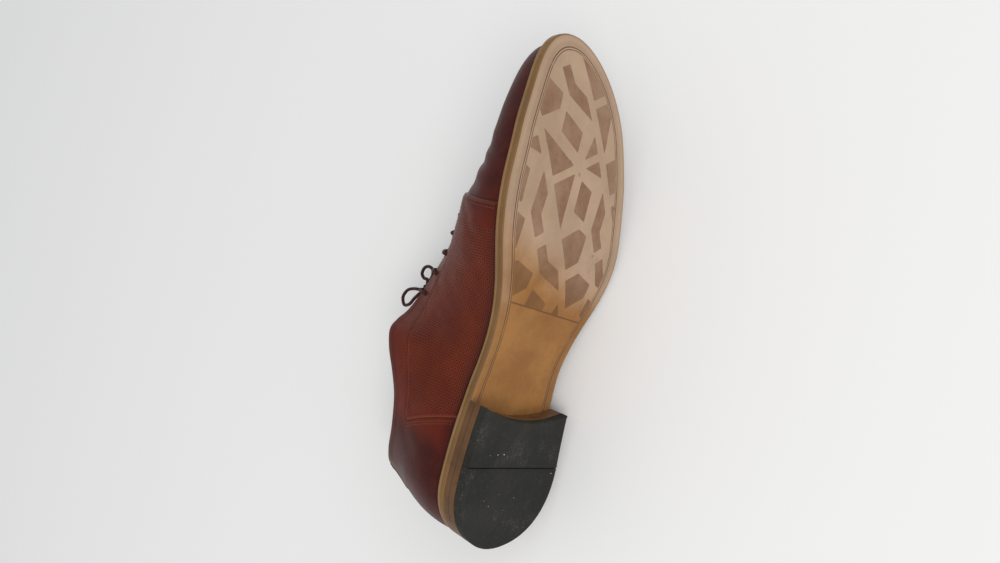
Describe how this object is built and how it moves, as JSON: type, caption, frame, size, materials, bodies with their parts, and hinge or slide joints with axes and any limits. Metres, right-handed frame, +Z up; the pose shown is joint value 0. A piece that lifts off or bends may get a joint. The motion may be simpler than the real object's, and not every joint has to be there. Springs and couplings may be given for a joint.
{
  "type": "leather derby shoe",
  "caption": "Left leather lace-up derby shoe with a hollow upper, stitched leather sole and stacked heel, lying on its outer side.",
  "frame": {"origin": "centre of the shoe's box, on the floor that it lies on (free lace left out)", "axes": "+X along the shoe towards the toe, +Y from the sole towards the collar, +Z up; the shoe lies on its outer side with its inner side up"},
  "size_m": [0.2942, 0.1329, 0.1125],
  "materials": {
    "upper_leather": "polished, dark brown",
    "sock_leather": "matt, natural",
    "sole_leather": "matt, worn tan",
    "edge_leather": "satin, tan",
    "heel_rubber": "matt black",
    "lace": "waxed, dark brown"
  },
  "bodies": {
    "root": {"upper": "upper_leather", "tongue": "upper_leather", "insole": "sock_leather", "outsole": "sole_leather", "midsole": "edge_leather", "heel_lift": "edge_leather", "heel_top_rear": "heel_rubber", "heel_top_front": "heel_rubber", "lace_bar_1": "lace", "lace_bar_2": "lace", "lace_bar_3": "lace", "lace_bar_4": "lace", "lace_bar_5": "lace", "lace_knot": "lace", "lace_loop_back": "lace", "lace_loop_front": "lace", "lace_end_back": "lace", "lace_end_front": "lace"}
  },
  "joints": []
}
